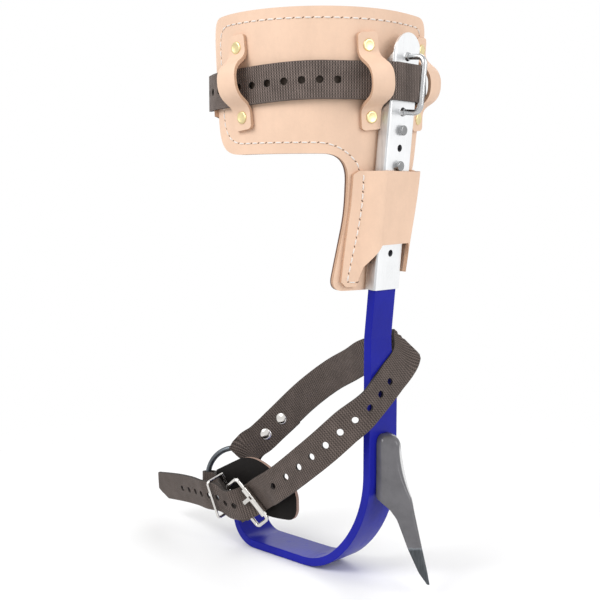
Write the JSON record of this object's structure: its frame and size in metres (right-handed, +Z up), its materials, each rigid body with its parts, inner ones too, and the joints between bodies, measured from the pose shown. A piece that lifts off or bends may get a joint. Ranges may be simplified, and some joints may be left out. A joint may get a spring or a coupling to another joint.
{
  "type": "pole climber",
  "caption": "Adjustable pole climber: bent steel leg iron with stirrup and gaff, sliding plated sleeve, leather calf pad, webbing calf strap and ankle strap with buckles.",
  "frame": {"origin": "centre of the stirrup tread's top face", "axes": "+X towards the shank and gaff, the inner side of the leg; +Y rearward; +Z up the leg"},
  "size_m": [0.2765, 0.1677, 0.4068],
  "materials": {
    "blue_paint": "gloss blue paint",
    "gaff_paint": "satin grey, tip bare steel",
    "plated": "bright zinc plate",
    "tan_leather": "smooth undyed leather",
    "brown_leather": "soft brown lining leather",
    "dark_leather": "near-black leather, raw edges",
    "webbing": "ribbed woven webbing",
    "brass": "polished brass",
    "nickel": "polished nickel plate",
    "ring_steel": "dull grey steel"
  },
  "bodies": {
    "iron_body": {"leg_iron": "blue_paint", "gaff": "gaff_paint", "gaff_screws": "plated", "ankle_strap": "webbing", "ankle_rivets": "nickel", "ankle_chape": "webbing", "ankle_shield": "dark_leather", "ankle_buckle_frame": "nickel"},
    "sleeve_body": {"sleeve": "plated", "height_screws": "plated", "strap_loop": "plated", "pad_leather": "tan_leather", "pad_lining": "brown_leather", "pouch": "tan_leather", "tab_front": "tan_leather", "tab_middle": "tan_leather", "tab_rear": "tan_leather", "brass_rivets": "brass", "calf_strap": "webbing", "calf_buckle_frame": "nickel"},
    "ring_body": {"stirrup_ring": "ring_steel"},
    "ankle_roller_body": {"ankle_buckle_roller": "nickel"},
    "ankle_tongue_body": {"ankle_buckle_tongue": "nickel"},
    "ankle_keeper_body": {"ankle_keeper": "nickel"},
    "calf_roller_body": {"calf_buckle_roller": "nickel"},
    "calf_tongue_body": {"calf_buckle_tongue": "nickel"},
    "calf_keeper_body": {"calf_keeper": "nickel"}
  },
  "joints": [
    {"name": "sleeve_height", "type": "slide", "parent": "iron_body", "child": "sleeve_body", "axis": [0.0986, 0, 0.9951], "range_m": [0, 0.061]},
    {"name": "ring_turn", "type": "hinge", "parent": "iron_body", "child": "ring_body", "pos_m": [-0.07823, -0.00702, 0.04359], "axis": [0.3792, -0.9164, 0.1281], "continuous": true},
    {"name": "ankle_roller_turn", "type": "hinge", "parent": "iron_body", "child": "ankle_roller_body", "pos_m": [-0.0258, -0.0385, 0.0441], "axis": [0.6004, 0.285, -0.7472], "continuous": true},
    {"name": "ankle_tongue_lift", "type": "hinge", "parent": "iron_body", "child": "ankle_tongue_body", "pos_m": [-0.03854, -0.03645, 0.03465], "axis": [0.6004, 0.285, -0.7472], "range_deg": [0, 5]},
    {"name": "ankle_keeper_slide", "type": "slide", "parent": "iron_body", "child": "ankle_keeper_body", "axis": [-0.9892, 0.1132, -0.0935], "range_m": [-0.002, 0.002]},
    {"name": "calf_roller_turn", "type": "hinge", "parent": "sleeve_body", "child": "calf_roller_body", "pos_m": [-0.0597, 0.03433, 0.3525], "axis": [0, 0, 1], "continuous": true},
    {"name": "calf_tongue_lift", "type": "hinge", "parent": "sleeve_body", "child": "calf_tongue_body", "pos_m": [-0.0677, 0.02047, 0.3525], "axis": [0, 0, 1], "range_deg": [0, 5]},
    {"name": "calf_keeper_slide", "type": "slide", "parent": "sleeve_body", "child": "calf_keeper_body", "axis": [0.0349, -0.9994, 0], "range_m": [-0.002, 0.002]}
  ]
}
